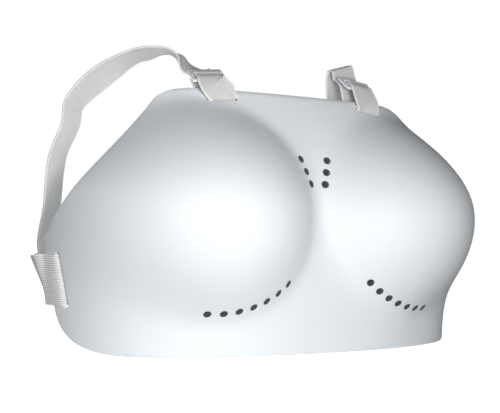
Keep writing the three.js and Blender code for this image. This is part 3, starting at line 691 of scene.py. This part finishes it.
off_white = slider_finish()
for name, hold in shoulders.items():
    width = STRAP_WIDTH + 2 * SLIDER_GAP + 2 * SLIDER_SIDE
    height = 2 * BAR_PITCH + BAR
    normal = np.cross(hold.along, hold.tilt_up)
    origin = hold.slider(0, 0) + normal * BAR_THICKNESS / 2
    windows = [rounded_box(width - 2 * SLIDER_SIDE, BAR_PITCH - BAR, 0.5, 1.0, m * BAR_PITCH / 2)
               for m in (-1, 1)]
    cells = np.array([(x, y) for x in np.arange(-15, 15.5, 0.9) for y in np.arange(-8, 8.5, 0.9)])
    vertices, faces, _ = moulded_plate(
        rounded_box(width, height, 1.5, 1.0), windows, cells, np.array([1.0, 1.0]),
        lambda p, h=hold, o=origin: o + p[:, :1] * h.along + p[:, 1:] * h.tilt_up,
        lambda p, n=normal: np.broadcast_to(-n, (len(p), 3)), BAR_THICKNESS, 0.7)
    slider = make_piece(f"{name}_three_bar_slider", vertices, faces)
    slider.data.materials.append(off_white)
    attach(slider, f"{name}_adjuster")
    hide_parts(f"{name}_slider")

# ------------------------------------------------------------------ shoulder straps
# The same 25 mm webbing goes on from each slider over the shoulder and back to the side,
# where it is sewn to the end of the back band. It hangs with half a twist.

BAND_GAP, WING_GAP = 1.5, 1.4
WING_MARGIN, WING_REACH, WING_FLARE = 4.0, 4.0, 0.36
WING_LENGTH = WING_MARGIN + STRAP_WIDTH + WING_REACH
SEAM_ALONG = WING_MARGIN + STRAP_WIDTH / 2
STRAP_OUT = (BAND_THICKNESS + STRAP_THICKNESS) / 2 + WING_GAP
wing_low = skin(SIDE_ANGLE, SIDE_SLOT_Z) + np.array([-5.3, 18.8, 0])
wing_run = unit(np.array([-22, 13.8, 9]))
wing_high = wing_low + wing_run * WING_LENGTH
wing_rise = np.array([WING_FLARE * 0.54, WING_FLARE * 0.84, 1])
wing_rise = unit(wing_rise - wing_run * (wing_rise @ wing_run))
wing_out = unit(np.cross(wing_rise, wing_run))


def mirrored(p, side):
    return np.array([side * p[0], p[1], p[2]])


def wing_point(side, along, out, up):
    return mirrored(wing_low + wing_run * along + wing_out * out + wing_rise * up, side)


strap_bends = {
    "left": [
        (0, 4.4, 3.4, 3.9, (0.76, 0.64, 0.1)), (0, 14.7, 4.9, 7.6, (0.5, 0.6, 0.55)),
        (0, 27, 4.8, 14.3, (0.55, 0.83, 0.05)),
        (0, 44, 5.6, 14, (0.56, 0.78, -0.26)), (0.1, 46, 5.5, 24.5, (0.62, 0.72, -0.33)),
        (0.3, 47, 8, 35, (0.75, 0.36, -0.5)), (0.5, 42, 7.5, 42, (0.86, 0.42, -0.2)),
        (0.55, 38.5, 7, 33, (0.88, 0.46, 0)), (0.7, 30, 5, 28, (0.86, 0.5, 0)),
        (1, -2.2, -4.9, 33, (0.85, 0.53, 0))],
    "right": [
        (0, -0.6, 4.6, 6.5, (0.97, 0, 0.12)), (0, -4.2, 5.2, 14.4, (0.95, 0.05, 0.24)),
        (0, -4.6, 11.2, 14.4, (0.94, 0.2, 0.24)), (0, -3.6, 15.6, 6.5, (0.95, 0.28, 0.12)),
        (0, -1.2, 17.6, -11, (0.95, 0.3, 0.05)),
        (0.25, -16, 15.5, -12.5, (0.82, 0.5, 0.25)), (0.55, -20, 25, -5, (0.7, 0.3, 0.65)),
        (1, -39.7, 16, 40, (0.45, -0.5, 0.73)), (1, -12.6, 14.6, 23.5, (0.75, -0.6, 0.3))]}

for name, hold in shoulders.items():
    side = hold.side
    start = hold.strap_start()
    sewn = [wing_point(side, SEAM_ALONG, STRAP_OUT, up) for up in (22, 8, -8)]
    stations = [(start, hold.along)]
    for share, out, back, up, across in strap_bends[name]:
        at = start + (sewn[0] - start) * share + np.array([side * out, back, up])
        stations.append((at, np.array(across)))
    end_across = mirrored(wing_run, side) * -side
    stations += [(p, end_across) for p in sewn]
    strap = webbing(f"{name}_strap_webbing", stations, STRAP_WIDTH, STRAP_THICKNESS, STRAP_CORDS,
                    0.9, waver=0.15)
    strap.data.materials.append(strap_finish)
    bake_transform(strap)
    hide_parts(f"{name}_shoulder_strap")

# ------------------------------------------------------------------ back band
# One length of 40 mm ribbed elastic webbing behind the wearer's back. Each end goes out through a side
# slot, turns back over the shell's edge and is sewn to itself.


def band_end_stations(side):
    slot = side_slot(side)
    edge = skin(side * SIDE_ANGLE, SIDE_SLOT_Z)
    edge_out = unit(skin_normal(side * SIDE_ANGLE, SIDE_SLOT_Z) * [1, 1, 0])
    towards = unit((edge - slot.middle) * [1, 1, 0])
    clear = BAND_THICKNESS / 2 + BAND_GAP
    turn = WALL / 2 + clear
    centre = slot.middle - slot.out * WALL / 2 + towards * turn
    tail = -BAND_THICKNESS - SLIDER_GAP
    rise = mirrored(wing_rise, side)
    half_way = slot.along + (rise - slot.along) * 0.6
    seam_end = SEAM_ALONG + 8
    found = [(wing_point(side, a, tail, 0), rise) for a in (seam_end, 11, 2)]
    found.append((edge - edge_out * (WALL + clear + 1.2) - towards, slot.along))
    for t in np.radians([90, 45, 0, -45, -90]):
        at = centre - slot.out * (turn * math.sin(t)) - towards * (turn * math.cos(t))
        found.append((at, slot.along))
    found.append((edge + edge_out * (clear + 0.9) - towards * 0.5, slot.along))
    found.append((edge + edge_out * (clear + 1.4) + towards * 5.5, half_way))
    found += [(wing_point(side, a, 0, 0), rise) for a in (0, 12, WING_LENGTH)]
    return found


span_start = wing_high + wing_run * 1.2
span = []
for t in (-0.92, -0.7, -0.35, 0, 0.35, 0.7, 0.92):
    at = np.array([span_start[0] * t, span_start[1] + 30 * (1 - t * t), span_start[2] + 6 * (1 - t * t)])
    lean = np.array([wing_rise[0] / wing_rise[2] * t**5, wing_rise[1] / wing_rise[2] * t**4, 1])
    span.append((at, lean))
BAND_CORDS = 23
band_finish = webbing_finish("band webbing", BAND_WIDTH, BAND_CORDS, 1.3, 0.1, (0.93, 0.925, 0.93),
                             (0.60, 0.59, 0.62), (0.95, 0.94, 0.94))
band = webbing("back_band_webbing", band_end_stations(-1) + span + band_end_stations(1)[::-1],
               BAND_WIDTH, BAND_THICKNESS, BAND_CORDS, 1.0, relief=0.16)
band.data.materials.append(band_finish)
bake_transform(band)
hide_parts("left_band_end", "right_band_end", "back_band")

# ------------------------------------------------------------------ seams
# Box stitching in white thread: each shoulder strap's end to the band,
# and each end of the band to itself.

SEAM_LENGTH, SEAM_HEIGHT = 16.0, 10.0
thread_finish = bpy.data.materials.new("white thread")
thread_finish.use_nodes = True
tree = thread_finish.node_tree
surface = tree.nodes["Principled BSDF"]
spot = linked(tree, "ShaderNodeTexCoord").outputs["Object"]
ply = linked(tree, "ShaderNodeTexNoise", {"Vector": spot, "Scale": 1500.0, "Detail": 2.0})
tone = linked(tree, "ShaderNodeMix", {"Factor": ply.outputs[0]}, data_type="RGBA")
tone.inputs[6].default_value = (0.62, 0.61, 0.57, 1)
tone.inputs[7].default_value = (0.82, 0.81, 0.78, 1)
tree.links.new(tone.outputs[2], surface.inputs["Base Color"])
rough = linked(tree, "ShaderNodeMapRange", {"Value": ply.outputs[0], 1: 0.3, 2: 0.7, 3: 0.55, 4: 0.8})
tree.links.new(rough.outputs[0], surface.inputs["Roughness"])
bump = linked(tree, "ShaderNodeBump", {"Height": ply.outputs[0], "Strength": 0.4, "Distance": 0.0001})
tree.links.new(bump.outputs[0], surface.inputs["Normal"])


def stitches(name, origin, right, up, out):
    """A box of stitches with a cross in it, lying on a face."""
    x, y = SEAM_LENGTH / 2 - 1, SEAM_HEIGHT / 2 - 1
    corners = [(-x, -y), (x, -y), (x, y), (-x, y)]
    rows = list(zip(corners, corners[1:] + corners[:1]))
    rows += [(corners[0], corners[2]), (corners[1], corners[3])]
    vertices, faces = [], []
    turns = np.radians(np.arange(0, 360, 45))
    for a, b in rows:
        a, b = np.array(a, float), np.array(b, float)
        length = np.linalg.norm(b - a)
        count = max(2, round(length / 2.2))
        run = (b - a) / length
        side_way = np.array([-run[1], run[0]])
        for i in range(count):
            middle = a + (b - a) * (i + 0.5) / count
            first = len(vertices)
            for k, share in enumerate((-1, -0.7, 0, 0.7, 1)):
                radius = (0.05, 0.2, 0.26, 0.2, 0.05)[k]
                for t in turns:
                    flat = middle + run * share * 0.88 + side_way * radius * math.cos(t)
                    high = 0.12 * (1 - share * share) + radius * math.sin(t)
                    vertices.append(origin + right * flat[0] + up * flat[1] + out * high)
            for k in range(4):
                for j in range(8):
                    n = (j + 1) % 8
                    low, high = first + 8 * k, first + 8 * k + 8
                    faces.append((low + j, low + n, high + n, high + j))
            faces.append(tuple(first + j for j in range(8))[::-1])
            faces.append(tuple(first + 32 + j for j in range(8)))
    return make_piece(name, vertices, faces)


for name, hold in shoulders.items():
    side = hold.side
    right, up = mirrored(wing_run, side), mirrored(wing_rise, side)
    out = mirrored(wing_out, side)
    for part, lift, body in (("strap_seam", STRAP_OUT + STRAP_THICKNESS / 2 + 0.1, f"{name}_strap"),
                             ("band_seam", -1.5 * BAND_THICKNESS - SLIDER_GAP - 0.1, "shell")):
        face_out = out if part == "strap_seam" else -out
        sewn = stitches(f"{name}_{part}_thread", wing_point(side, SEAM_ALONG, lift, 0), right, up, face_out)
        bm = bmesh.new()
        bm.from_mesh(sewn.data)
        bmesh.ops.recalc_face_normals(bm, faces=bm.faces)
        bm.to_mesh(sewn.data)
        bm.free()
        sewn.data.materials.append(thread_finish)
        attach(sewn, body)
        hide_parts(f"{name}_{part}")

# ------------------------------------------------------------------ studio
# A white floor and a white surround, a soft lamp in front with a weaker one by the camera, and
# one lamp behind.

floor_mesh = bpy.data.meshes.new("floor")
floor_mesh.from_pydata([(-6, -6, 0), (6, -6, 0), (6, 6, 0), (-6, 6, 0)], [], [(0, 1, 2, 3)])
floor = bpy.data.objects.new("floor", floor_mesh)
bpy.context.scene.collection.objects.link(floor)
floor.location.z = -0.0005
floor_finish = bpy.data.materials.new("white floor")
floor_finish.use_nodes = True
table = floor_finish.node_tree.nodes["Principled BSDF"]
table.inputs["Base Color"].default_value = (0.6, 0.6, 0.6, 1)
table.inputs["Roughness"].default_value = 0.9
table.inputs["Emission Color"].default_value = (1, 1, 1, 1)
seen = linked(floor_finish.node_tree, "ShaderNodeLightPath")
floor_finish.node_tree.links.new(seen.outputs["Is Camera Ray"], table.inputs["Emission Strength"])
floor.data.materials.append(floor_finish)

# A near-black card stands inside the hollow as painted shade, so that the vents and the slots' ends read
# dark from the front;
# its faint glow is painted light as well. It is clear from behind and to every ray but the camera's.
card_shares, card_heights = np.linspace(-1, 1, 61), np.linspace(12, 206, 50)
u, w = np.meshgrid(card_shares, card_heights)
u = u * (edge_angle(w) - 0.12)
card_points = skin(u, w) - skin_normal(u, w) * 13
card_points[..., 2] = w
cell = np.arange(u.size).reshape(u.shape)
card_faces = np.stack([cell[:-1, :-1], cell[:-1, 1:], cell[1:, 1:], cell[1:, :-1]], -1).reshape(-1, 4)
card = make_piece("hollow_shade_card", card_points.reshape(-1, 3), card_faces)
# Painted shade: near black with a faint glow, seen by camera rays only.
shade_card_material = bpy.data.materials.new("hollow shade card")
shade_card_material.use_nodes = True
tree = shade_card_material.node_tree
tree.nodes["Principled BSDF"].inputs["Base Color"].default_value = (0.03, 0.028, 0.028, 1)
tree.nodes["Principled BSDF"].inputs["Roughness"].default_value = 1.0
tree.nodes["Principled BSDF"].inputs["Emission Color"].default_value = (0.035, 0.03, 0.03, 1)
tree.nodes["Principled BSDF"].inputs["Emission Strength"].default_value = 1.0
seen_from = linked(tree, "ShaderNodeNewGeometry")
clear = linked(tree, "ShaderNodeBsdfTransparent")
looked_at = linked(tree, "ShaderNodeLightPath")
unseen = maths(tree, "SUBTRACT", 1.0, looked_at.outputs["Is Camera Ray"])
see_through = maths(tree, "MAXIMUM", seen_from.outputs["Backfacing"], unseen)
either = linked(tree, "ShaderNodeMixShader", {"Fac": see_through})
tree.links.new(tree.nodes["Principled BSDF"].outputs[0], either.inputs[1])
tree.links.new(clear.outputs[0], either.inputs[2])
tree.links.new(either.outputs[0], tree.nodes["Material Output"].inputs["Surface"])
card.data.materials.append(shade_card_material)

world = bpy.data.worlds.new("studio")
bpy.context.scene.world = world
world.use_nodes = True
tree = world.node_tree
sky = tree.nodes["Background"]
seen = linked(tree, "ShaderNodeLightPath")
backdrop = maths(tree, "MULTIPLY_ADD", seen.outputs["Is Camera Ray"], 0.94, 0.08)
tree.links.new(backdrop, sky.inputs["Strength"])
sky.inputs["Color"].default_value = (1, 1, 1, 1)
lamp_data = bpy.data.lights.new("soft lamp", "AREA")
lamp_data.energy = 2.6
lamp_data.size = 0.22
lamp_data.color = (1.0, 1.0, 1.0)
lamp = bpy.data.objects.new("soft lamp", lamp_data)
bpy.context.scene.collection.objects.link(lamp)
lamp.location = (-0.226, -0.583, 0.12)
lamp.rotation_mode = "QUATERNION"
lamp.rotation_quaternion = (lamp.location - Vector((0.03, 0.05, 0.11))).to_track_quat("Z", "Y")
fill_data = bpy.data.lights.new("fill lamp", "AREA")
fill_data.energy = 1.6
fill_data.size = 0.3
fill = bpy.data.objects.new("fill lamp", fill_data)
bpy.context.scene.collection.objects.link(fill)
fill.location = camera.location + Vector((-0.02, 0.0, 0.06))
fill.rotation_mode = "QUATERNION"
fill.rotation_quaternion = (-ahead).to_track_quat("Z", "Y")
back_data = bpy.data.lights.new("back lamp", "AREA")
back_data.energy = 22.0
back_data.size = 1.0
back_lamp = bpy.data.objects.new("back lamp", back_data)
bpy.context.scene.collection.objects.link(back_lamp)
back_lamp.location = (-0.1, 1.6, 0.35)
back_lamp.rotation_mode = "QUATERNION"
back_lamp.rotation_quaternion = (back_lamp.location - Vector((0.0, 0.08, 0.1))).to_track_quat("Z", "Y")
bpy.context.scene.view_settings.view_transform = "Standard"
